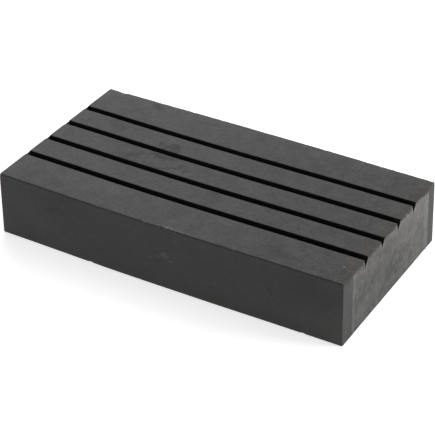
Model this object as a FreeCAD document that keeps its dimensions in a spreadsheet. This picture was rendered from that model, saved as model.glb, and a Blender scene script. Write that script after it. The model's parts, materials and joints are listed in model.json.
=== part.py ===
"""Rubber levelling block: one solid moulding with straight grip grooves along its tread.

The block lies on its plain underside.  X runs along the grooves, Y across them and Z up.  The origin is
the centre of the underside.  The section is moulded in one piece and cut square at both ends, so the
whole body is a straight extrusion: there is no core, insert, cover or fastener in it.
"""
import FreeCAD, Part
import math
import os

import Sketcher

PARTS_FOLDER = "parts"
SHEET_NAME = "sizes"

# Sketcher's own numbers for a sketch's two axes and for the ends of a curve.
HORIZONTAL_AXIS, VERTICAL_AXIS = -1, -2
START, END = 1, 2

# How closely the pattern's grooves must add up to whole ones, as a share of one groove's volume.
VOLUME_TOLERANCE = 1e-3

# The driving dimensions, in millimetres apart from the count and the draft: alias, value, what it is.
DRIVING_SIZES = [
    ("block_length", 300.0, "length, from sawn end to sawn end"),
    ("block_width", 160.0, "width across the grooves"),
    ("block_height", 55.0, "height that the block raises a wheel or a jack foot"),
    ("edge_radius", 1.0, "round along the four long moulded edges"),
    ("groove_count", 4, "number of grip grooves in the tread"),
    ("groove_pitch", 28.0, "spacing from groove to groove"),
    ("groove_mouth", 6.0, "width of a groove at the tread"),
    ("groove_depth", 9.0, "depth of a groove below the tread"),
    ("groove_draft", 4.0, "lean of each groove wall from the vertical, in degrees"),
    ("groove_corner", 1.2, "round in each corner of a groove's floor"),
]


def make_sheet(doc):
    """Writes the driving dimensions to a spreadsheet, one aliased cell each."""
    sheet = doc.addObject("Spreadsheet::Sheet", SHEET_NAME)
    for row, (alias, value, meaning) in enumerate(DRIVING_SIZES, start=1):
        sheet.set(f"A{row}", meaning)
        sheet.set(f"B{row}", str(value))
        sheet.setAlias(f"B{row}", alias)
    doc.recompute()
    return sheet


def bind(feature, **formulas):
    """Drives properties of a feature from the spreadsheet; a word in a formula is an alias there."""
    for name, formula in formulas.items():
        feature.setExpression(name, formula)


def section_sketch(body, name):
    """An empty sketch on the body's YZ plane: its horizontal axis is Y and its vertical axis is Z."""
    plane = next(f for f in body.Origin.OriginFeatures if f.Role == "YZ_Plane")
    sketch = body.newObject("Sketcher::SketchObject", name)
    sketch.AttachmentSupport = [(plane, "")]
    sketch.MapMode = "FlatFace"
    return sketch


def drive(sketch, name, constraint, formula):
    """Adds a named dimension to a sketch and drives it from the spreadsheet."""
    index = sketch.addConstraint(constraint)
    sketch.renameConstraint(index, name)
    sketch.setExpression(f"Constraints.{name}", formula)


def join_smoothly(sketch, pairs):
    """Runs the end of the first curve of each pair into the start of the second, tangent to it."""
    for this, following in pairs:
        sketch.addConstraint(Sketcher.Constraint("Tangent", this, END, following, START))


def arc(centre, radius, start_angle, end_angle):
    """An arc about a centre in the sketch plane, anticlockwise between two angles in radians."""
    circle = Part.Circle(centre, FreeCAD.Vector(0, 0, 1), radius)
    return Part.ArcOfCircle(circle, start_angle, end_angle)


def block_outline(sheet):
    """The section's curves in order from the base: the sides of a rectangle, each with the arc after it."""
    half, top, radius = sheet.block_width / 2, sheet.block_height, sheet.edge_radius
    # The centre of the round after the base, then after the right side, the top and the left side.
    centres = [
        FreeCAD.Vector(half - radius, radius, 0),
        FreeCAD.Vector(half - radius, top - radius, 0),
        FreeCAD.Vector(radius - half, top - radius, 0),
        FreeCAD.Vector(radius - half, radius, 0),
    ]
    curves = []
    for corner, centre in enumerate(centres):
        angle = (corner - 1) * math.pi / 2
        outward = FreeCAD.Vector(math.cos(angle), math.sin(angle), 0) * radius
        side = Part.LineSegment(centres[corner - 1] + outward, centre + outward)
        curves += [side, arc(centre, radius, angle, angle + math.pi / 2)]
    return curves


def block_section(body, sheet):
    """The outer section, standing on the horizontal axis and centred on the vertical one."""
    sketch = section_sketch(body, "block_section")
    curves = [sketch.addGeometry(curve) for curve in block_outline(sheet)]
    base, right, upper, left = curves[0::2]
    rounds = curves[1::2]
    join_smoothly(sketch, zip(curves, curves[1:] + curves[:1]))
    sketch.addConstraint(Sketcher.Constraint("Horizontal", upper))
    for side in (right, left):
        sketch.addConstraint(Sketcher.Constraint("Vertical", side))
    for other in rounds[1:]:
        sketch.addConstraint(Sketcher.Constraint("Equal", rounds[0], other))
    sketch.addConstraint(Sketcher.Constraint("PointOnObject", base, START, HORIZONTAL_AXIS))
    sketch.addConstraint(Sketcher.Constraint("Symmetric", base, START, base, END, VERTICAL_AXIS))
    width = Sketcher.Constraint("DistanceX", left, START, right, START, sheet.block_width)
    drive(sketch, "width", width, f"{SHEET_NAME}.block_width")
    height = Sketcher.Constraint("DistanceY", base, START, upper, START, sheet.block_height)
    drive(sketch, "height", height, f"{SHEET_NAME}.block_height")
    radius = Sketcher.Constraint("Radius", rounds[0], sheet.edge_radius)
    drive(sketch, "edge_radius", radius, f"{SHEET_NAME}.edge_radius")
    return sketch


def groove_outline(sheet):
    """The first groove's curves in order: down one wall, over the round floor, up the other, and closed.

    The walls lean in from the mouth to the floor, and an arc tangent to both joins a wall to the floor.
    """
    middle = -sheet.groove_pitch * (sheet.groove_count - 1) / 2
    mouth = sheet.groove_mouth / 2
    top, bottom = sheet.block_height, sheet.block_height - sheet.groove_depth
    radius = sheet.groove_corner
    draft = math.radians(sheet.groove_draft)
    # The arc leaves the floor this far before the corner where the wall and the floor would meet.
    corner = mouth - sheet.groove_depth * math.tan(draft)
    setback = radius * math.tan(math.pi / 4 - draft / 2)
    wall_y = corner + setback * math.sin(draft)
    wall_z = bottom + setback * math.cos(draft)
    floor_y = corner - setback

    def at(y, z):
        return FreeCAD.Vector(middle + y, z, 0)

    quarter = math.pi / 2
    return [
        Part.LineSegment(at(-mouth, top), at(-wall_y, wall_z)),
        arc(at(-floor_y, bottom + radius), radius, 2 * quarter + draft, 3 * quarter),
        Part.LineSegment(at(-floor_y, bottom), at(floor_y, bottom)),
        arc(at(floor_y, bottom + radius), radius, -quarter, -draft),
        Part.LineSegment(at(wall_y, wall_z), at(mouth, top)),
        Part.LineSegment(at(mouth, top), at(-mouth, top)),
    ]


def groove_section(body, sheet):
    """The first groove's cross-section, a tapered slot with a round-cornered floor."""
    sketch = section_sketch(body, "groove_section")
    curves = [sketch.addGeometry(curve) for curve in groove_outline(sheet)]
    left_wall, left_arc, floor, right_arc, right_wall, mouth = curves
    join_smoothly(sketch, zip(curves[:4], curves[1:5]))
    for this, following in ((right_wall, mouth), (mouth, left_wall)):
        sketch.addConstraint(Sketcher.Constraint("Coincident", this, END, following, START))
    sketch.addConstraint(Sketcher.Constraint("Horizontal", floor))
    sketch.addConstraint(Sketcher.Constraint("Horizontal", mouth))
    sketch.addConstraint(Sketcher.Constraint("Equal", left_arc, right_arc))
    sketch.addConstraint(Sketcher.Constraint("Equal", left_wall, right_wall))
    dimension_groove(sketch, curves, sheet)
    return sketch


def dimension_groove(sketch, curves, sheet):
    """Drives the groove's place, mouth, depth, draft and corner round from the spreadsheet."""
    left_wall, left_arc, floor, _, _, mouth = curves
    outer = sheet.groove_pitch * (sheet.groove_count - 1) / 2 + sheet.groove_mouth / 2
    reach = Sketcher.Constraint("DistanceX", left_wall, START, VERTICAL_AXIS, START, outer)
    first = f"{SHEET_NAME}.groove_pitch * ({SHEET_NAME}.groove_count - 1) / 2"
    drive(sketch, "reach", reach, f"{first} + {SHEET_NAME}.groove_mouth / 2")
    width = Sketcher.Constraint("DistanceX", mouth, END, mouth, START, sheet.groove_mouth)
    drive(sketch, "mouth", width, f"{SHEET_NAME}.groove_mouth")
    level = Sketcher.Constraint("DistanceY", HORIZONTAL_AXIS, START, mouth, START, sheet.block_height)
    drive(sketch, "level", level, f"{SHEET_NAME}.block_height")
    depth = Sketcher.Constraint("DistanceY", floor, START, mouth, END, sheet.groove_depth)
    drive(sketch, "depth", depth, f"{SHEET_NAME}.groove_depth")
    downward = math.radians(sheet.groove_draft - 90)
    draft = Sketcher.Constraint("Angle", left_wall, downward)
    drive(sketch, "draft", draft, f"{SHEET_NAME}.groove_draft * 1 deg - 90 deg")
    corner = Sketcher.Constraint("Radius", left_arc, sheet.groove_corner)
    drive(sketch, "corner", corner, f"{SHEET_NAME}.groove_corner")


def removed(before, feature):
    """The volume that a cutting feature took away; raises if it took none."""
    taken = before.Shape.Volume - feature.Shape.Volume
    if taken <= 0:
        raise RuntimeError(f"{feature.Label} removes nothing")
    return taken


def rubber_block(doc, sheet):
    """The whole block: an extruded section with a row of grooves cut through the length of its tread."""
    body = doc.addObject("PartDesign::Body", "rubber_block")
    body.Label = "rubber_block"

    slab = body.newObject("PartDesign::Pad", "slab")
    slab.Profile = block_section(body, sheet)
    slab.SideType = "Symmetric"
    bind(slab, Length=f"{SHEET_NAME}.block_length")
    doc.recompute()

    section = groove_section(body, sheet)
    groove = body.newObject("PartDesign::Pocket", "first_groove")
    groove.Profile = section
    groove.SideType = "Symmetric"
    groove.Type = "ThroughAll"
    doc.recompute()
    one_groove = removed(slab, groove)

    grooves = body.newObject("PartDesign::LinearPattern", "grooves")
    grooves.Originals = [groove]
    grooves.Direction = (section, ["H_Axis"])
    grooves.Mode = "Spacing"
    bind(grooves, Offset=f"{SHEET_NAME}.groove_pitch", Occurrences=f"{SHEET_NAME}.groove_count")
    body.Tip = grooves
    doc.recompute()
    if abs(removed(slab, grooves) - sheet.groove_count * one_groove) > VOLUME_TOLERANCE * one_groove:
        raise RuntimeError("the pattern doesn't repeat the whole groove")
    return body


def check_document(doc, bodies):
    """Raises if any object failed to recompute, or if a body isn't one valid closed solid."""
    for item in doc.Objects:
        if "Invalid" in item.State or "Error" in item.State:
            raise RuntimeError(f"{item.Label} failed: {item.State}")
    for body in bodies:
        shape = body.Shape
        if shape.isNull() or not shape.isValid() or len(shape.Solids) != 1:
            raise RuntimeError(f"{body.Label} isn't one valid solid")


def export_parts(bodies):
    """Writes each body's shape to its own STEP file, named by the body's label."""
    os.makedirs(PARTS_FOLDER, exist_ok=True)
    for body in bodies:
        body.Shape.exportStep(os.path.join(PARTS_FOLDER, f"{body.Label}.step"))
        box = body.Shape.BoundBox
        size = f"{box.XLength:.2f} x {box.YLength:.2f} x {box.ZLength:.2f} mm"
        print(f"{body.Label}: {size}, {body.Shape.Volume / 1000:.1f} cm3")


def main():
    doc = FreeCAD.newDocument("levelling_block")
    sheet = make_sheet(doc)
    bodies = [rubber_block(doc, sheet)]
    doc.recompute()
    check_document(doc, bodies)
    export_parts(bodies)


main()
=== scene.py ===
import json
import math

import bpy
import numpy as np
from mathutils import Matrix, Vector, noise
from mathutils.geometry import delaunay_2d_cdt


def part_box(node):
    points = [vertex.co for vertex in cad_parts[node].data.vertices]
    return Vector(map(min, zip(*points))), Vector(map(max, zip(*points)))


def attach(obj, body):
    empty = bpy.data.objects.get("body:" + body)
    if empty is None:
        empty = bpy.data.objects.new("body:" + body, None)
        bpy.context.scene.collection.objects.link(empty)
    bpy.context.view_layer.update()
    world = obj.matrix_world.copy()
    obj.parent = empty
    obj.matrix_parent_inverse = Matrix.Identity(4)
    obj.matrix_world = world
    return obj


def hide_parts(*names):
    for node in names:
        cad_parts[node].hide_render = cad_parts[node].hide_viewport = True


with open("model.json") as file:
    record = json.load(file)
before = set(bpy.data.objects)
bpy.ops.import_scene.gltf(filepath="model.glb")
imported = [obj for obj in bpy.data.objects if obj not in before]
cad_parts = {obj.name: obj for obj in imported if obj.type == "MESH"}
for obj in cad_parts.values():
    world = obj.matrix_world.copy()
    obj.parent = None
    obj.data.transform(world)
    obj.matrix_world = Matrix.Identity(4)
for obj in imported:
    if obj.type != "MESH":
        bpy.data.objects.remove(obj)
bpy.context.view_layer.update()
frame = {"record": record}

MM = 0.001
LOW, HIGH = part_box("rubber_block")
LENGTH, WIDTH, HEIGHT = HIGH - LOW
OPENINGS = [opening["box_m"] for opening in frame["record"]["physics"]["openings"]]
GROOVES = sorted((low[1] + high[1]) / 2 for low, high in OPENINGS)
GROOVE_PITCH = GROOVES[1] - GROOVES[0]

# The groove's own section, and the rounds of the moulded and the cut edges.
GROOVE_MOUTH = 6 * MM
GROOVE_DEPTH = 9 * MM
GROOVE_DRAFT = math.radians(4)
FLOOR_ROUND = 1.2 * MM
MOUTH_ROUND = 0.45 * MM
EDGE_ROUND = 1.0 * MM
CUT_ROUND = 0.45 * MM

# The rags of rubber that the saw left across the ends of the grooves. At +X a long one leans in from each
# groove's +Y wall and a short one from its -Y wall. They start FLAP_TOP below the tread and have their full
# reach FLAP_FULL below it. At -X they fill each groove but for a small share of its depth.
FLAP_REACH = 4.9 * MM
FLAP_SHORT = 0.7 * MM
FLAP_TOP = 0.3 * MM
FLAP_FULL = 7.6 * MM
FLAP_DIP = 0.06

# How far apart the mesh's points are: along and round the moulded skin, underneath, over the cut ends, and
# between a round and the first point beyond it.
SKIN_STEP = 1.6 * MM
UNDER_STEP = 2.6 * MM
END_STEP = 0.95 * MM
SUPPORT = 0.35 * MM

# On the cut ends, in steps: how far a point strays from its grid, and how far it keeps from the outline.
END_JITTER = 0.25
END_CLEARANCE = 0.55

# How many pieces the arc of a wide round and of a narrow one has.
WIDE_ROUND_STEPS = 5
NARROW_ROUND_STEPS = 3

# The part of each end that the saw has scuffed: from the front strip to the back strip.
SCUFF_FRONT = -65 * MM
SCUFF_BACK = 68.5 * MM

# How far below the tread that part starts: least just past a groove, more across the rib up to the next one,
# and a little more behind BACK_TEAR.
TORN_LEAST = 1.0 * MM
TORN_SLOPE = 2.2 * MM / GROOVE_PITCH
TORN_BACK = 0.6 * MM
BACK_TEAR = 46 * MM

# The real block's bends: how far its front and back bow out at mid-length, and how far its back right corner
# sinks. Its right end stands a little inwards at the front of the tread, and further out by these amounts at
# the back, at the foot, and at the back of the foot. Its left end stands out, a little more at the foot.
FRONT_BOW = 1.7 * MM
BACK_BOW = 0.5 * MM
CORNER_SINK = 0.6 * MM
RIGHT_LEAN = -0.55 * MM
RIGHT_LEAN_BACK = 0.5 * MM
RIGHT_LEAN_FOOT = 1.3 * MM
RIGHT_LEAN_BACK_FOOT = 0.8 * MM
LEFT_LEAN = 0.9 * MM
LEFT_LEAN_FOOT = 0.3 * MM

# How far each seed moves the noise along, so that no two seeds give the same clouds.
SEED_SHIFT = 31.7


def smooth(low, high, values):
    """0 below low and 1 above high, with a smooth rise in between."""
    t = np.clip((values - low) / (high - low), 0, 1)
    return t * t * (3 - 2 * t)


def hump(centre, reach, values):
    """1 at the centre, falling smoothly to 0 at the reach on each side of it."""
    return 1 - smooth(0, reach, np.abs(values - centre))


def cloud(points, size, seed):
    """Smooth noise from about -1 to 1 at each point; size is how large its features are, in metres."""
    return np.array([noise.noise(Vector(p)) for p in points / np.array(size) + SEED_SHIFT * seed])


# ---------------------------------------------------------------- the section and its outline


def groove_corners(centre):
    """A groove's four corners, as (y, z, round), from its +Y side to its -Y side."""
    floor = HEIGHT - GROOVE_DEPTH
    mouth = GROOVE_MOUTH / 2
    foot = mouth - GROOVE_DEPTH * math.tan(GROOVE_DRAFT)
    return [
        (centre + mouth, HEIGHT, MOUTH_ROUND),
        (centre + foot, floor, FLOOR_ROUND),
        (centre - foot, floor, FLOOR_ROUND),
        (centre - mouth, HEIGHT, MOUTH_ROUND),
    ]


def section_corners():
    """The section's corners, as (y, z, round), anticlockwise seen from +X, from the lower front one."""
    half = WIDTH / 2
    corners = [(-half, 0, EDGE_ROUND), (half, 0, EDGE_ROUND), (half, HEIGHT, EDGE_ROUND)]
    for centre in reversed(GROOVES):
        corners += groove_corners(centre)
    return corners + [(-half, HEIGHT, EDGE_ROUND)]


def along(start, end, step):
    """Points between two ends, evenly spaced but for one close to each end, which keeps the round crisp."""
    run = np.linalg.norm(end - start)
    if run < 4 * SUPPORT:
        return [(start + end) / 2]
    count = max(2, round((run - 2 * SUPPORT) / step) + 1)
    return [start + (end - start) * d / run for d in np.linspace(SUPPORT, run - SUPPORT, count)]


def section_outline():
    """The rounded outline of the section: its points and their outward directions, as (y, z) arrays."""
    corners = section_corners()
    places = [np.array(c[:2]) for c in corners]
    rounds = []
    for i, (_, _, radius) in enumerate(corners):
        before = places[i - 1] - places[i]
        after = places[(i + 1) % len(places)] - places[i]
        before, after = before / np.linalg.norm(before), after / np.linalg.norm(after)
        half_angle = math.acos(np.clip(before @ after, -1, 1)) / 2
        turn = math.copysign(1, before[1] * after[0] - before[0] * after[1])
        bisector = (before + after) / np.linalg.norm(before + after)
        centre = places[i] + bisector * radius / math.sin(half_angle)
        start = places[i] + before * radius / math.tan(half_angle)
        sweep = math.pi - 2 * half_angle
        steps = WIDE_ROUND_STEPS if radius > MOUTH_ROUND else NARROW_ROUND_STEPS
        first = math.atan2(*(start - centre)[::-1])
        angles = first + turn * np.linspace(0, sweep, steps + 1)
        circle = np.stack([np.cos(angles), np.sin(angles)], axis=1)
        rounds.append((centre + radius * circle, turn * circle))
    points, outward = [], []
    for i, (arc, directions) in enumerate(rounds):
        following = rounds[(i + 1) % len(rounds)][0]
        step = UNDER_STEP if i == 0 else SKIN_STEP
        run = along(arc[-1], following[0], step)
        points += [*arc, *run]
        outward += [*directions, *[directions[-1]] * len(run)]
    return np.array(points), np.array(outward)


# ---------------------------------------------------------------- the block's mesh


def stations():
    """Where the rings of points stand along X: (x, inset from the outline, how much they face the end)."""
    half = LENGTH / 2
    end = []
    for angle in np.radians([90, 60, 30, 0]):
        facing = math.sin(angle)
        end.append((half - CUT_ROUND * (1 - facing), CUT_ROUND * (1 - math.cos(angle)), facing))
    inner = half - CUT_ROUND - SUPPORT
    count = round(2 * inner / SKIN_STEP) + 1
    middle = [(x, 0.0, 0.0) for x in np.linspace(-inner, inner, count)]
    return [(-x, inset, -facing) for x, inset, facing in end] + middle + end[::-1]


def groove_share(outline):
    """How far down its groove each point of the outline is: 0 at the tread and 1 at the groove's floor."""
    share = np.zeros(len(outline))
    for centre in GROOVES:
        here = np.abs(outline[:, 0] - centre) < GROOVE_MOUTH / 2
        here &= outline[:, 1] > HEIGHT / 2
        share[here] = (HEIGHT - outline[here, 1]) / GROOVE_DEPTH
    return share


def flapped(ring, share, inset, side):
    """An end ring with the saw's rags in its grooves: they narrow the grooves at +X and close them at -X."""
    ring = ring.copy()
    depth = np.where(share > 0, HEIGHT - inset - ring[:, 1], 0)
    if side < 0:
        ring[:, 1] += (1 - FLAP_DIP) * depth
        return ring
    for centre in GROOVES:
        across = np.clip(0.5 + (ring[:, 0] - centre) / GROOVE_MOUTH, 0, 1)
        near = np.abs(ring[:, 0] - centre) < GROOVE_MOUTH
        lean = FLAP_REACH * across - FLAP_SHORT * (1 - across)
        ring[:, 0] -= np.where(near, smooth(FLAP_TOP, FLAP_FULL, depth) * lean, 0)
    return ring


def inside_ring(ring, places):
    """Which places lie inside a ring: those with an odd number of its edges above them."""
    start, end = ring, np.roll(ring, -1, axis=0)
    inside = np.zeros(len(places), bool)
    for i, (y, z) in enumerate(places):
        spans = (start[:, 0] > y) != (end[:, 0] > y)
        a, b = start[spans], end[spans]
        crossing = a[:, 1] + (y - a[:, 0]) * (b[:, 1] - a[:, 1]) / (b[:, 0] - a[:, 0])
        inside[i] = np.sum(crossing > z) % 2
    return inside


def end_points(ring):
    """Points spread over an end inside its ring, on a jittered grid that keeps clear of the ring."""
    rows = np.arange(LOW.z + END_STEP, HIGH.z, END_STEP)
    columns = np.arange(LOW.y + END_STEP, HIGH.y, END_STEP)
    grid = np.array([(y, z) for z in rows for y in columns])
    grid += np.random.default_rng(5).uniform(-END_JITTER, END_JITTER, grid.shape) * END_STEP
    gap = np.array([np.min(np.hypot(*(ring - p).T)) for p in grid])
    return grid[inside_ring(ring, grid) & (gap > END_CLEARANCE * END_STEP)]


def end_triangles(ring, inner):
    """Triangles that fill a ring, by the numbers of their points: first the ring's, then the inner ones."""
    count = len(ring)
    edges = [(i, (i + 1) % count) for i in range(count)]
    places = [Vector(p) for p in [*ring, *inner]]
    _, _, faces, sources, _, _ = delaunay_2d_cdt(places, edges, [], 1, 1e-9)
    return [[sources[v][0] for v in face] for face in faces]


def skin_faces(ring_count, ring_size):
    """The faces between each ring of points and the next."""
    faces = []
    for a in range(0, (ring_count - 1) * ring_size, ring_size):
        b = a + ring_size
        for j in range(ring_size):
            k = (j + 1) % ring_size
            faces.append((a + j, a + k, b + k, b + j))
    return faces


def block_surface():
    """The plain block's points, their outward directions, how much each is on a cut end and how far down a
    groove it is, and the faces."""
    outline, outward = section_outline()
    share = groove_share(outline)
    ring_size = len(outline)
    rings = stations()
    points, directions, cut = [], [], []
    for x, inset, facing in rings:
        ring = outline - inset * outward
        if abs(x) > LENGTH / 2 - CUT_ROUND - SUPPORT / 2:
            ring = flapped(ring, share, inset, x)
        points.append(np.column_stack([np.full(ring_size, x), ring]))
        side = math.sqrt(1 - facing * facing)
        directions.append(np.column_stack([np.full(ring_size, facing), side * outward]))
        cut.append(np.full(ring_size, abs(facing)))
    groove = [share] * len(rings)
    faces = skin_faces(len(rings), ring_size)
    for side, ring_number in ((-1, 0), (1, len(rings) - 1)):
        ring = points[ring_number][:, 1:]
        inner = end_points(ring)
        first, base = ring_number * ring_size, sum(len(p) for p in points)
        for triangle in end_triangles(ring, inner):
            ids = [first + v if v < ring_size else base + v - ring_size for v in triangle]
            faces.append(ids if side > 0 else ids[::-1])
        points.append(np.column_stack([np.full(len(inner), side * LENGTH / 2), inner]))
        directions.append(np.tile((side, 0.0, 0.0), (len(inner), 1)))
        cut.append(np.ones(len(inner)))
        groove.append(np.zeros(len(inner)))
    return [np.concatenate(a) for a in (points, directions, cut, groove)] + [faces]


def skin_relief(points):
    """How far the moulded skin stands proud of flat: slow waves with a finer ripple."""
    waves = 0.10 * cloud(points, 55 * MM, 1)
    ripple = 0.03 * cloud(points, 9 * MM, 2)
    return (waves + ripple) * MM


def torn_depth(points):
    """How far below the tread the scuffed part of an end starts; torn_edge is the same for the material."""
    y = points[:, 1]
    past_groove = (y - GROOVES[0]) % GROOVE_PITCH
    teeth = cloud(points, (20 * MM, 2.2 * MM, 9 * MM), 7)
    back = smooth(BACK_TEAR, SCUFF_BACK, y)
    return TORN_LEAST + TORN_SLOPE * past_groove + TORN_BACK * back + 0.9 * MM * teeth


def cut_relief(points):
    """How far the cut ends stand proud: drag marks down the scuffed part, a ridge at each side of it, and a
    step back above its torn upper edge."""
    y, z = points[:, 1], points[:, 2]
    edge_wander = 0.5 * MM * cloud(points, (9 * MM, 9 * MM, 7 * MM), 3)
    scuffed = smooth(SCUFF_FRONT, SCUFF_FRONT + 1.5 * MM, y + edge_wander)
    scuffed *= 1 - smooth(SCUFF_BACK - 1.5 * MM, SCUFF_BACK, y + edge_wander)
    torn = torn_depth(points)
    below = smooth(torn - 0.5 * MM, torn + 0.7 * MM, HEIGHT - z)
    fine = cloud(points, (20 * MM, 1.8 * MM, 11 * MM), 4)
    broad = cloud(points, (20 * MM, 7 * MM, 16 * MM), 5)
    near_top = np.exp((z - HEIGHT) / (5 * MM))
    drag = (0.015 + 0.20 * near_top) * fine + 0.12 * broad
    ridges = hump(SCUFF_FRONT + 1.5 * MM, 2.2 * MM, y + edge_wander)
    ridges += hump(SCUFF_BACK - 2 * MM, 3 * MM, y + edge_wander)
    return (scuffed * drag + 0.22 * ridges - 0.1 * scuffed - 0.3 * (1 - below)) * MM


# The wear of the tread's long edges: how far from them it reaches, and how deep it can go.
EDGE_WEAR = 1.6 * MM
EDGE_WEAR_DEPTH = 0.5 * MM

# Damage along the edges: (x, y, z, radius, depth), in millimetres.
CHIPS = [
    (-16, -80, 55, 2.6, 0.7),
    (-3, -80, 55, 2.2, 0.6),
    (2, -80, 55, 2.0, 0.5),
    (61, -80, 55, 1.8, 0.4),
    (-137, 80, 55, 6.0, 0.7),
    (-95, -80, 55, 1.8, 0.4),
    (104, 80, 55, 2.2, 0.5),
    (-40, 80, 55, 2.0, 0.4),
    (35, 80, 0, 2.6, 0.6),
    (-66, -80, 0, 2.4, 0.6),
    (118, -80, 0, 2.0, 0.5),
    (150, -80, 55, 2.0, 0.5),
    (-150, -80, 55, 1.8, 0.6),
    (150, 52, 55, 2.0, 0.5),
    (150, -19, 55, 1.8, 0.4),
    (-150, 10, 55, 2.2, 0.6),
]


def chips(points):
    """How far the edge damage eats into each point, and how much of each point is damaged."""
    from_side = WIDTH / 2 - np.abs(points[:, 1])
    from_top = HEIGHT - points[:, 2]
    on_edge = (1 - smooth(0, EDGE_WEAR, from_side)) * (1 - smooth(0, EDGE_WEAR, from_top))
    depth = EDGE_WEAR_DEPTH * on_edge * np.clip(cloud(points, 4.5 * MM, 8), 0, 1)
    share = np.zeros(len(points))
    rough = 1 + 0.35 * cloud(points, 1.4 * MM, 6)
    for x, y, z, radius, deep in CHIPS:
        away = np.linalg.norm(points - np.array((x, y, z)) * MM, axis=1) * rough
        inside = 1 - smooth(0, radius * MM, away)
        depth = np.maximum(depth, deep * MM * inside)
        share = np.maximum(share, inside)
    return depth, share


def settle(points):
    """The real block's slight bends: how far each point is from where a perfectly square block has it."""
    x, y, z = points.T
    u, v, w = x / LENGTH, y / WIDTH, z / HEIGHT
    # The bow is greatest a little to the left of the middle, and the back's differs from the front's.
    bow = np.cos(math.pi * u) ** 1.5 * (1 - 0.35 * np.sin(math.pi * u))
    forward = 1 - smooth(0.30, 0.5, v)
    shift = np.zeros_like(points)
    right, left = np.clip(u * 2, 0, 1), np.clip(-u * 2, 0, 1)
    back, foot = v + 0.5, 1 - w
    right_foot = RIGHT_LEAN_FOOT + RIGHT_LEAN_BACK_FOOT * back
    shift[:, 0] = right * (RIGHT_LEAN + RIGHT_LEAN_BACK * back + foot * right_foot)
    shift[:, 0] -= left * (LEFT_LEAN + LEFT_LEAN_FOOT * foot)
    shift[:, 1] = bow * (BACK_BOW * (1 - forward) - FRONT_BOW * forward)
    shift[:, 2] = -CORNER_SINK * smooth(0.1, 0.5, u) * smooth(0.1, 0.5, v) * w
    return shift


def make_block():
    """The block as one closed mesh, with what its material has to know stored on its points."""
    points, outward, cut, groove, faces = block_surface()
    chipped, chip_share = chips(points)
    proud = skin_relief(points) * (1 - cut) + cut_relief(points) * cut - chipped
    moved = points + settle(points) + outward * proud[:, None]
    moved[:, 2] = np.maximum(moved[:, 2], LOW.z)

    mesh = bpy.data.meshes.new("levelling_block")
    mesh.from_pydata(moved.tolist(), [], faces)
    for name, values in (("cut", cut), ("groove", groove), ("chip", chip_share)):
        mesh.attributes.new(name, "FLOAT", "POINT").data.foreach_set("value", values.astype(np.float32))
    mesh.shade_smooth()
    mesh.validate()
    block = bpy.data.objects.new("levelling_block", mesh)
    bpy.context.scene.collection.objects.link(block)
    print("levelling_block:", sum(len(f) - 2 for f in faces), "triangles")
    return block


# ---------------------------------------------------------------- materials


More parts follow.
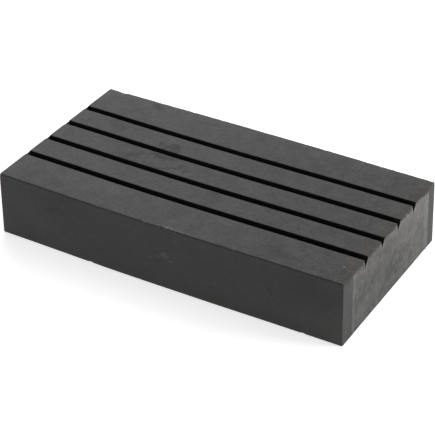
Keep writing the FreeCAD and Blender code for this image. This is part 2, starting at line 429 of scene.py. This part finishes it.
class Nodes:
    """Short words for building a node tree. A value may be a number, a colour or another node's output."""

    def __init__(self, material):
        material.use_nodes = True
        self.tree = material.node_tree
        self.tree.nodes.clear()

    def add(self, kind, inputs=None, output=0, **settings):
        """A new node with its settings and inputs. Gives back one of its outputs, by name or number."""
        node = self.tree.nodes.new(kind)
        for name, value in settings.items():
            setattr(node, name, value)
        for name, value in (inputs or {}).items():
            if isinstance(value, bpy.types.NodeSocket):
                self.tree.links.new(value, node.inputs[name])
            else:
                node.inputs[name].default_value = value
        return node.outputs[output] if node.outputs else None

    def math(self, operation, a, b=0.0, c=0.0):
        return self.add("ShaderNodeMath", {0: a, 1: b, 2: c}, operation=operation)

    def plus(self, first, *others):
        for other in others:
            first = self.math("ADD", first, other)
        return first

    def times(self, first, *others):
        for other in others:
            first = self.math("MULTIPLY", first, other)
        return first

    def one_minus(self, value):
        return self.math("SUBTRACT", 1.0, value)

    def mix(self, share, first, second):
        """The first colour where share is 0 and the second where it is 1."""
        # The mix node's inputs 6 and 7 and its output 2 are those for colours; their names aren't unique.
        return self.add("ShaderNodeMix", {0: share, 6: first, 7: second}, output=2, data_type="RGBA")

    def rise(self, value, low, high):
        """0 where value is below low, 1 above high, smooth between; the other way round if low > high."""
        inputs = {"Value": value, "From Min": low, "From Max": high}
        return self.add("ShaderNodeMapRange", inputs, interpolation_type="SMOOTHSTEP")

    def stretch(self, vector, scale, turn=0.0):
        """A vector turned about Z, in degrees, and scaled along each axis, for noise that has a grain."""
        inputs = {"Vector": vector, "Rotation": (0, 0, math.radians(turn)), "Scale": scale}
        return self.add("ShaderNodeMapping", inputs, vector_type="POINT")

    def noise(self, vector, size, detail=2.0, roughness=0.5, seed=0.0):
        """Noise from about -1 to 1 with features about size across, in the vector's own unit."""
        inputs = {"Vector": vector, "W": seed, "Scale": 1 / size, "Detail": detail, "Roughness": roughness}
        value = self.add("ShaderNodeTexNoise", inputs, noise_dimensions="4D")
        # The node's own values lie mostly between 0.25 and 0.75.
        return self.math("MULTIPLY_ADD", value, 4.0, -2.0)

    def warp(self, vector, size, reach, seed):
        """A vector pushed about by up to about reach, so that what is drawn with it has ragged edges."""
        inputs = {"Vector": vector, "W": seed, "Scale": 1 / size, "Detail": 3.0, "Roughness": 0.65}
        cloud = self.add("ShaderNodeTexNoise", inputs, output="Color", noise_dimensions="4D")
        centred = self.add("ShaderNodeVectorMath", {0: cloud, 1: (0.5, 0.5, 0.5)}, operation="SUBTRACT")
        push = self.add("ShaderNodeVectorMath", {0: centred, "Scale": 4 * reach}, operation="SCALE")
        return self.add("ShaderNodeVectorMath", {0: vector, 1: push}, operation="ADD")

    def split(self, vector):
        """A vector's X, Y and Z."""
        node = self.tree.nodes.new("ShaderNodeSeparateXYZ")
        self.tree.links.new(vector, node.inputs["Vector"])
        return list(node.outputs)

    def spots(self, vector, size, share, seed=0.0):
        """Small round spots, 1 in their middle, in about the given share of cells of that size."""
        inputs = {"Vector": vector, "W": seed, "Scale": 1 / size, "Randomness": 1.0}
        distance = self.add("ShaderNodeTexVoronoi", inputs, voronoi_dimensions="4D")
        colour = self.add("ShaderNodeTexVoronoi", inputs, output="Color", voronoi_dimensions="4D")
        red = self.add("ShaderNodeSeparateColor", {"Color": colour})
        chosen = self.math("LESS_THAN", red, share)
        return self.times(chosen, self.rise(distance, 0.32, 0.1))


def blob(nodes, across, up, mark):
    """A soft-edged oval mark on a face, from its (centre, half-widths, turn, how much paler)."""
    centre, half_widths, turn, paler = mark
    place = nodes.add("ShaderNodeCombineXYZ", {"X": across, "Y": up})
    moved = nodes.add("ShaderNodeVectorMath", {0: place, 1: (*centre, 0)}, operation="SUBTRACT")
    turned = nodes.stretch(moved, (1, 1, 1), turn)
    scale = (1 / half_widths[0], 1 / half_widths[1], 0)
    shrunk = nodes.add("ShaderNodeVectorMath", {0: turned, 1: scale}, operation="MULTIPLY")
    distance = nodes.add("ShaderNodeVectorMath", {0: shrunk}, output="Value", operation="LENGTH")
    return nodes.times(nodes.rise(distance, 1.0, 0.1), paler)


def blobs(nodes, across, up, marks):
    """All of a face's marks together."""
    return nodes.plus(*[blob(nodes, across, up, mark) for mark in marks])


# Marks on each face: centre and half-widths in millimetres, turn in degrees, and how much paler, or darker
# where below 0. Marks have ragged edges, flecks have clean ones, and crumbs show only in the pale grains.
TREAD_MARKS = [
    ((-52.5, 21), (12, 9), 20, -0.28),
    ((-53, 22), (7, 5), 0, -0.48),
    ((-48, 8), (17, 6), -12, -0.34),
    ((-60, 4), (7, 4), 40, -0.20),
    ((-64, 22), (4, 8), 20, -0.22),
    ((-49, 23), (4.0, 2.6), 30, -0.40),
    ((-58, 18), (3.2, 2.0), -20, -0.36),
    ((-37, -6), (13, 2.4), -38, -0.50),
    ((-25, -6), (6, 1.9), -50, -0.42),
    ((-78, -5), (16, 7), -35, -0.20),
    ((-86, 2), (9, 4), 30, 0.08),
    ((-97, 72), (12, 6), 15, -0.18),
    ((-112, 30), (19, 9), 30, -0.14),
    ((31, 44), (14, 8), 60, -0.12),
    ((-92, 58), (3, 15), -30, 0.10),
    ((86, -71), (36, 14), 0, -0.08),
    ((-72, -54), (44, 16), 0, 0.08),
    ((12, -60), (34, 9), 0, 0.04),
    ((-20, 26), (26, 9), 0, 0.05),
]
TREAD_FLECKS = [
    ((53, 26), (1.3, 1.2), 0, 0.30),
    ((84, -5), (1.1, 1.1), 0, 0.26),
    ((140, -60), (1.5, 1.2), 0, 0.90),
    ((137, -54), (1.1, 0.9), 0, 0.22),
    ((122, -60), (1.2, 1.0), 0, 0.26),
    ((108, -36), (1.0, 0.9), 0, -0.16),
    ((68, 60), (1.2, 0.9), 0, 0.18),
    ((-14, 34), (1.0, 1.0), 0, -0.18),
    ((8, -80), (34, 1.5), 0, 0.12),
]
TREAD_CRUMBS = [
    ((4, -79.6), (15, 3.2), 0, 0.75),
    ((-16, -79.6), (6, 2.4), 0, 0.5),
    ((60, -79.5), (5, 2.4), 0, 0.5),
]
FRONT_MARKS = [
    ((0, 29), (9, 6), 20, 0.05),
    ((12, 45), (3.4, 1.8), 50, 0.10),
    ((-100, 38), (12, 1.6), -12, -0.08),
    ((-90, 22), (4, 2.6), 0, -0.06),
    ((90, 29), (5, 2.2), 10, -0.06),
    ((126, 41), (54, 30), 0, -0.055),
    ((-95, 46), (60, 26), 0, -0.025),
    ((-58, 14), (10, 5), 20, -0.03),
]
FRONT_FLECKS = [
    ((1.5, 31.5), (1.2, 2.8), 0, 0.22),
    ((-1, 30), (3.4, 1.0), 50, 0.20),
    ((2.5, 29), (3.6, 0.9), -25, 0.18),
    ((-4.5, 28), (3.2, 1.0), 20, 0.16),
    ((7, 26.5), (2.6, 1.0), -40, 0.18),
    ((-11, 25), (2.4, 1.0), 30, 0.16),
    ((-6, 33.5), (1.6, 0.8), 0, 0.12),
    ((11.5, 49), (1.2, 0.8), 40, 0.20),
    ((34, 49.5), (1.0, 0.9), 0, 0.22),
    ((43.5, 2.4), (1.2, 0.9), 0, 0.30),
    ((57, 3), (1.0, 0.9), 0, 0.16),
    ((-16, 54), (1.8, 0.9), 0, 0.24),
    ((-3, 54), (1.8, 1.1), 0, 0.28),
    ((2, 53.8), (1.2, 1.2), 0, 0.32),
    ((6.5, 54.2), (1.4, 0.8), 0, 0.22),
    ((11, 53.6), (1.0, 1.6), 0, 0.24),
    ((61, 54.2), (1.6, 0.8), 0, 0.18),
]
BACK_MARKS = [
    ((40, 30), (18, 1.8), 25, 0.08),
    ((52, 26), (12, 1.4), 12, 0.07),
    ((-70, 40), (12, 1.8), -15, -0.08),
    ((95, 16), (10, 6), 0, 0.06),
    ((-20, 11), (26, 6), 5, 0.06),
    ((-118, 28), (9, 11), 0, -0.06),
    ((128, 44), (14, 5), 30, -0.06),
    ((-36, 47), (8, 2.4), -40, 0.08),
    ((10, 50), (1.6, 1.2), 0, 0.20),
    ((-92, 20), (1.4, 1.2), 0, 0.20),
]
END_MARKS = [
    ((13, 12), (9, 3.6), 12, -0.20),
    ((6, 17), (3.6, 2.8), 40, -0.08),
    ((-18, 2.4), (6, 2.6), 0, -0.12),
    ((-57, 2), (5, 3), 0, -0.08),
]
END_FLECKS = [
    ((6, 22), (1.3, 1.1), 0, 0.40),
    ((-30, 34), (0.9, 0.9), 0, 0.20),
    ((24, 8), (0.9, 0.8), 0, 0.22),
]


def tread_wear(nodes, mm, x, y, clouds, mottle, grain, scrapes):
    """The tread's own mottling and fine scrapes, and how it gets paler towards its back, left and right."""
    patches = nodes.noise(mm, 10.0, 2.0, 0.5, seed=15.0)
    return nodes.plus(
        nodes.times(clouds, 0.06),
        nodes.times(patches, 0.08),
        nodes.times(mottle, 0.08),
        nodes.times(grain, 0.12),
        nodes.times(scrapes, nodes.rise(clouds, -0.6, 0.6), 0.05),
        nodes.times(nodes.rise(y, 66, 77), 0.05),
        nodes.times(nodes.rise(x, -138, -146), 0.04),
        nodes.times(nodes.rise(x, 70, 120), 0.02),
    )


def painted_side_shade(nodes, z):
    """Painted shade that makes the moulded sides a little darker than the tread, and painted light that makes
    them paler towards the foot.
    """
    return nodes.plus(-0.125, nodes.times(nodes.rise(z, 45, 0), 0.05))


def torn_edge(nodes, y, teeth):
    """How far below the tread the scuffed field starts, in millimetres, with its ragged teeth."""
    past_groove = nodes.math("FLOORED_MODULO", nodes.math("SUBTRACT", y, GROOVES[0] / MM), GROOVE_PITCH / MM)
    back = nodes.rise(y, BACK_TEAR / MM, SCUFF_BACK / MM)
    return nodes.plus(
        TORN_LEAST / MM,
        nodes.times(past_groove, TORN_SLOPE),
        nodes.times(back, TORN_BACK / MM),
        nodes.times(teeth, 1.7),
    )


def torn_lips(nodes, y, down):
    """The torn edges of rubber at each side of a groove's end."""
    from_rim = nodes.plus(y, -(GROOVES[0] - GROOVE_MOUTH / 2 - GROOVE_PITCH / 2) / MM)
    from_rim = nodes.plus(nodes.math("FLOORED_MODULO", from_rim, GROOVE_PITCH / MM), -GROOVE_PITCH / 2 / MM)
    across = nodes.times(nodes.rise(from_rim, -3.0, -1.2), nodes.rise(from_rim, 7.6, 5.8))
    within = nodes.math("LESS_THAN", nodes.math("ABSOLUTE", y), (GROOVES[-1] + GROOVE_PITCH / 4) / MM)
    return nodes.times(across, nodes.rise(down, 0.7, 2.0), nodes.rise(down, 13.0, 6.0), within)


def scuff_masks(nodes, y, down, teeth):
    """On a cut end: where it is below the torn edge, how near below it, and the torn lips of the grooves."""
    torn = torn_edge(nodes, y, teeth)
    lips = torn_lips(nodes, y, down)
    below = nodes.math("MAXIMUM", nodes.rise(down, nodes.plus(torn, -0.3), nodes.plus(torn, 0.5)), lips)
    under_edge = nodes.times(nodes.rise(down, nodes.plus(torn, 7), nodes.plus(torn, 1)), below)
    return below, under_edge, lips


def cut_pallor(nodes, mm, y, z, masks, teeth):
    """The cut ends: a paler scuffed field with bright borders, a torn upper edge and drag marks under it."""
    below, under_edge, lips = masks
    front, back = SCUFF_FRONT / MM, SCUFF_BACK / MM
    streaks = nodes.noise(nodes.stretch(mm, (1.0, 1.0, 0.14)), 1.7, 3.0, 0.6, seed=8.0)
    smears = nodes.noise(nodes.stretch(mm, (1.0, 1.0, 0.75)), 4.5, 3.0, 0.65, seed=13.0)
    blotches = nodes.noise(mm, 13.0, 4.0, 0.6, seed=9.0)
    specks = nodes.noise(mm, 1.5, 2.0, 0.6, seed=16.0)
    across = nodes.times(nodes.rise(y, front - 0.6, front + 0.9), nodes.rise(y, back + 1.4, back - 1.4))
    front_line = nodes.times(nodes.rise(y, front - 0.6, front + 1.4), nodes.rise(y, front + 6.5, front + 1.6))
    back_line = nodes.times(nodes.rise(y, back - 9, back - 3), nodes.rise(y, back + 1.4, back - 1.0))
    paler = nodes.plus(
        0.135,
        nodes.times(streaks, 0.015),
        nodes.times(blotches, 0.19),
        nodes.times(smears, 0.16),
        # Painted light: the end is made paler towards its back, on top of the lamps' own brightening there.
        nodes.times(nodes.rise(y, 10, 60), 0.12),
        nodes.times(nodes.rise(z, 22, 50), nodes.rise(y, -50, 10), 0.15),
        nodes.times(front_line, 0.15),
        nodes.times(back_line, 0.17),
        nodes.times(under_edge, nodes.plus(0.08, nodes.times(streaks, 0.13), nodes.times(teeth, 0.08))),
        nodes.times(lips, nodes.plus(0.16, nodes.times(streaks, 0.10))),
    )
    foot = nodes.times(nodes.rise(z, 2.6, 0.2), -0.10)
    behind = nodes.rise(y, back - 2, back + 1)
    untouched = nodes.times(nodes.one_minus(below), nodes.rise(behind, 1, 0), -0.09)
    strips = nodes.plus(-0.025, nodes.times(behind, 0.03), nodes.times(specks, 0.10))
    return nodes.plus(nodes.times(paler, below, across), strips, untouched, foot)


# How far a face is turned one way: not at all where less than the first share of its direction points that
# way, and wholly from the second share on.
TURNED = (0.6, 0.95)
TURNED_AGAINST = (-0.6, -0.95)


def stained(nodes, xyz, warped, tread, front_side, untouched):
    """Where the rubber is stained brown: near its right end, along the front's foot and on untouched cuts."""
    near_end = nodes.rise(warped[0], 130, 146)
    near_foot = nodes.times(nodes.rise(warped[2], 20, 2), nodes.rise(xyz[0], -110, 0), 0.8)
    return nodes.plus(
        nodes.times(near_end, tread),
        nodes.times(nodes.math("MAXIMUM", near_end, near_foot), front_side),
        nodes.times(untouched, 0.8),
    )


# The rubber's colours: unworn, and fully pale where it is sawn, dusty in two tints, and stained.
COAL = (0.0067, 0.0066, 0.0067, 1)
SAWN = (0.158, 0.154, 0.148, 1)
WARM_DUST = (0.156, 0.153, 0.156, 1)
COOL_DUST = (0.153, 0.152, 0.165, 1)
STAIN = (0.166, 0.152, 0.132, 1)


def tinted(nodes, pallor, clouds, cut, stain):
    """The rubber's colour: black where its pallor is 0, and dusty, sawn or stained where it is 1."""
    dust_tint = nodes.mix(nodes.rise(clouds, -0.5, 0.5), WARM_DUST, COOL_DUST)
    palest = nodes.mix(stain, nodes.mix(cut, dust_tint, SAWN), STAIN)
    return nodes.mix(nodes.add("ShaderNodeClamp", {"Value": pallor}), COAL, palest)


def rubber():
    """Old black rubber: a dusty tread, painted shade in the grooves and on the sides, and pale scuffed ends
    where the saw has been. One number, pallor, says how far each point is from unworn black, at 0, to its
    palest, at 1."""
    material = bpy.data.materials.new("weathered_rubber")
    nodes = Nodes(material)
    metres = nodes.add("ShaderNodeTexCoord", output="Object")
    mm = nodes.add("ShaderNodeVectorMath", {0: metres, "Scale": 1 / MM}, operation="SCALE")
    xyz = nodes.split(mm)
    warped = nodes.split(nodes.warp(mm, 6.0, 5.0, seed=11.0))
    facing = nodes.split(nodes.add("ShaderNodeNewGeometry", output="Normal"))
    cut = nodes.add("ShaderNodeAttribute", output="Fac", attribute_name="cut")
    depth = nodes.add("ShaderNodeAttribute", output="Fac", attribute_name="groove")
    chip = nodes.add("ShaderNodeAttribute", output="Fac", attribute_name="chip")

    clouds = nodes.noise(mm, 26.0, 3.0, seed=1.0)
    mottle = nodes.noise(mm, 5.5, 3.0, 0.6, seed=2.0)
    grain = nodes.noise(mm, 1.7, 3.0, 0.7, seed=4.0)
    pores = nodes.spots(mm, 2.4, 0.12, seed=5.0)
    dust = nodes.spots(mm, 3.1, 0.06, seed=6.0)
    crumbs = nodes.rise(grain, 0.0, 0.5)
    drawn = nodes.noise(nodes.stretch(mm, (0.04, 1.0, 1.0)), 1.6, 2.0, 0.55, seed=7.0)
    scrapes = nodes.noise(nodes.stretch(mm, (0.12, 1.0, 1.0), 52), 1.5, 2.0, 0.6, seed=12.0)
    drags = nodes.noise(nodes.stretch(mm, (1.0, 1.0, 0.14)), 2.2, 3.0, 0.6, seed=14.0)
    teeth = nodes.noise(nodes.stretch(mm, (1.0, 1.0, 0.25)), 2.4, 2.0, 0.6, seed=10.0)

    skin = nodes.one_minus(cut)
    in_groove = nodes.times(nodes.rise(depth, 0.0, 0.07), skin)
    tread = nodes.times(nodes.rise(facing[2], *TURNED), skin, nodes.one_minus(in_groove))
    front_side = nodes.times(nodes.rise(facing[1], *TURNED_AGAINST), skin)
    back_side = nodes.times(nodes.rise(facing[1], *TURNED), skin)
    back_patches = nodes.noise(mm, 18.0, 3.0, 0.55, seed=17.0)
    wander = nodes.plus(xyz[1], nodes.times(mottle, 0.5))
    masks = scuff_masks(nodes, wander, nodes.math("SUBTRACT", HEIGHT / MM, xyz[2]), teeth)
    untouched = nodes.times(nodes.one_minus(masks[0]), cut)
    stain = stained(nodes, xyz, warped, tread, front_side, untouched)

    pallor = nodes.plus(
        0.20,
        nodes.times(clouds, 0.006),
        nodes.times(mottle, 0.014),
        nodes.times(grain, 0.034),
        nodes.times(drawn, 0.008, skin),
        nodes.times(dust, 0.10),
        nodes.times(pores, -0.05),
        nodes.times(chip, 0.10),
        nodes.times(tread_wear(nodes, mm, xyz[0], xyz[1], clouds, mottle, grain, scrapes), tread),
        # Painted shade on the front and back, with painted light towards their foot.
        nodes.times(painted_side_shade(nodes, xyz[2]), nodes.plus(front_side, back_side)),
        nodes.times(back_patches, back_side, 0.035),
        nodes.times(blobs(nodes, warped[0], warped[2], BACK_MARKS), back_side),
        nodes.times(blobs(nodes, warped[0], warped[1], TREAD_MARKS), tread),
        nodes.times(blobs(nodes, xyz[0], xyz[1], TREAD_FLECKS), tread),
        nodes.times(blobs(nodes, xyz[0], xyz[1], TREAD_CRUMBS), crumbs, tread),
        nodes.times(blobs(nodes, warped[0], warped[2], FRONT_MARKS), front_side),
        nodes.times(blobs(nodes, xyz[0], xyz[2], FRONT_FLECKS), front_side),
        nodes.times(cut_pallor(nodes, mm, wander, xyz[2], masks, teeth), cut),
        nodes.times(blobs(nodes, warped[1], warped[2], END_MARKS), cut),
        nodes.times(blobs(nodes, xyz[1], xyz[2], END_FLECKS), cut),
    )
    # Painted shade: the grooves are blacker than the rest, apart from the rags at their right ends, where
    # less shade is painted because they catch the light.
    rags = nodes.times(nodes.rise(xyz[0], 143, 147.5), 0.55)
    pallor = nodes.times(pallor, nodes.plus(1.0, nodes.times(in_groove, nodes.plus(-0.6, rags))))

    roughness = nodes.plus(
        0.62,
        nodes.times(mottle, 0.05),
        nodes.times(clouds, 0.04),
        nodes.times(cut, 0.12),
        nodes.times(in_groove, -0.2),
    )
    pitted = nodes.plus(nodes.times(grain, 0.05), nodes.times(mottle, 0.05), nodes.times(pores, -0.12))
    marked = nodes.times(nodes.plus(nodes.times(drags, 0.035), nodes.times(mottle, 0.06)), cut)
    height = nodes.plus(pitted, marked, nodes.times(drawn, 0.015, skin), nodes.times(scrapes, 0.015, tread))
    bump = nodes.add("ShaderNodeBump", {"Strength": 0.8, "Distance": MM, "Height": height})
    shader = nodes.add("ShaderNodeBsdfPrincipled", {
        "Base Color": tinted(nodes, pallor, clouds, cut, stain),
        "Roughness": roughness,
        "Normal": bump,
        "Specular IOR Level": 0.4,
    })
    nodes.add("ShaderNodeOutputMaterial", {"Surface": shader})
    return material


def pale_floor():
    """A matt white floor that glows a little, so that it stays pale round the block."""
    material = bpy.data.materials.new("pale_floor")
    nodes = Nodes(material)
    shader = nodes.add("ShaderNodeBsdfPrincipled", {
        "Base Color": (0.86, 0.86, 0.86, 1),
        "Roughness": 0.9,
        "Specular IOR Level": 0.1,
        "Emission Color": (1, 1, 1, 1),
        "Emission Strength": 0.6,
    })
    nodes.add("ShaderNodeOutputMaterial", {"Surface": shader})
    return material


# ---------------------------------------------------------------- the studio

# The floor's side, in metres, and how far it stays below the block's underside.
FLOOR_SIZE = 12.0
FLOOR_DROP = 0.05 * MM

# The light from all round, what the camera sees behind the floor, and a wide soft sun for a ceiling.
WORLD_STRENGTH = 0.108
BACKDROP = (0.98, 0.98, 0.98, 1)
CEILING_PLACE = (0.25, 0.35, 1.0)
CEILING_STRENGTH = 1.275
CEILING_ANGLE = math.radians(100)

# The square soft lights: name, place and side in metres, and watts.
SOFTBOXES = [
    ("right", (2.4, 1.2, 1.2), 1.4, 61),
    ("back", (-1.7, 2.2, 1.6), 1.6, 30.9),
    ("left", (-2.2, -1.2, 1.0), 1.4, 8.5),
]

# The camera: its lens and sensor in millimetres, and where it stands from the point that it aims at.
LENS = 134.1
SENSOR = 36.0
AZIMUTH = math.radians(29.9)
ELEVATION = math.radians(33.3)
CAMERA_DISTANCE = 1.281
AIM = Vector((0.0027, -0.0037, 0.0206))


def make_floor():
    """One large plain square under the block."""
    half = FLOOR_SIZE / 2
    mesh = bpy.data.meshes.new("studio_floor")
    corners = [(-half, -half, 0), (half, -half, 0), (half, half, 0), (-half, half, 0)]
    mesh.from_pydata(corners, [], [(0, 1, 2, 3)])
    mesh.materials.append(pale_floor())
    floor = bpy.data.objects.new("studio_floor", mesh)
    floor.location.z = -FLOOR_DROP
    bpy.context.scene.collection.objects.link(floor)


def place_light(name, light, place):
    """Puts a light at a place, facing the block."""
    lamp = bpy.data.objects.new(name, light)
    lamp.location = place
    lamp.rotation_euler = (-Vector(place)).to_track_quat("-Z", "Y").to_euler()
    bpy.context.scene.collection.objects.link(lamp)


def softbox(name, place, size, watts):
    """A square area light."""
    light = bpy.data.lights.new(name, "AREA")
    light.shape = "SQUARE"
    light.size = size
    light.energy = watts
    place_light(name, light, place)


def make_studio():
    """Soft light from above, stronger from the right, and a pale backdrop that only the camera sees."""
    world = bpy.data.worlds.new("studio")
    world.use_nodes = True
    tree = world.node_tree
    light = tree.nodes["Background"]
    light.inputs["Color"].default_value = (1, 1, 1, 1)
    light.inputs["Strength"].default_value = WORLD_STRENGTH
    backdrop = tree.nodes.new("ShaderNodeBackground")
    backdrop.inputs["Color"].default_value = BACKDROP
    path = tree.nodes.new("ShaderNodeLightPath")
    chosen = tree.nodes.new("ShaderNodeMixShader")
    tree.links.new(path.outputs["Is Camera Ray"], chosen.inputs[0])
    tree.links.new(light.outputs["Background"], chosen.inputs[1])
    tree.links.new(backdrop.outputs["Background"], chosen.inputs[2])
    tree.links.new(chosen.outputs["Shader"], tree.nodes["World Output"].inputs["Surface"])
    bpy.context.scene.world = world
    ceiling = bpy.data.lights.new("ceiling", "SUN")
    ceiling.energy = CEILING_STRENGTH
    ceiling.angle = CEILING_ANGLE
    place_light("ceiling", ceiling, CEILING_PLACE)
    for name, place, size, watts in SOFTBOXES:
        softbox(name, place, size, watts)
    bpy.context.scene.view_settings.view_transform = "Standard"


def make_camera():
    """A camera in front of the block, to its right and above it."""
    back = Vector((
        math.sin(AZIMUTH) * math.cos(ELEVATION),
        -math.cos(AZIMUTH) * math.cos(ELEVATION),
        math.sin(ELEVATION),
    ))
    data = bpy.data.cameras.new("camera")
    data.lens = LENS
    data.sensor_width = SENSOR
    camera = bpy.data.objects.new("camera", data)
    camera.location = AIM + back * CAMERA_DISTANCE
    camera.rotation_euler = (-back).to_track_quat("-Z", "Y").to_euler()
    bpy.context.scene.collection.objects.link(camera)
    bpy.context.scene.camera = camera


make_camera()
make_studio()
make_floor()
block = make_block()
block.data.materials.append(rubber())
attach(block, "root")
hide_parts("rubber_block")
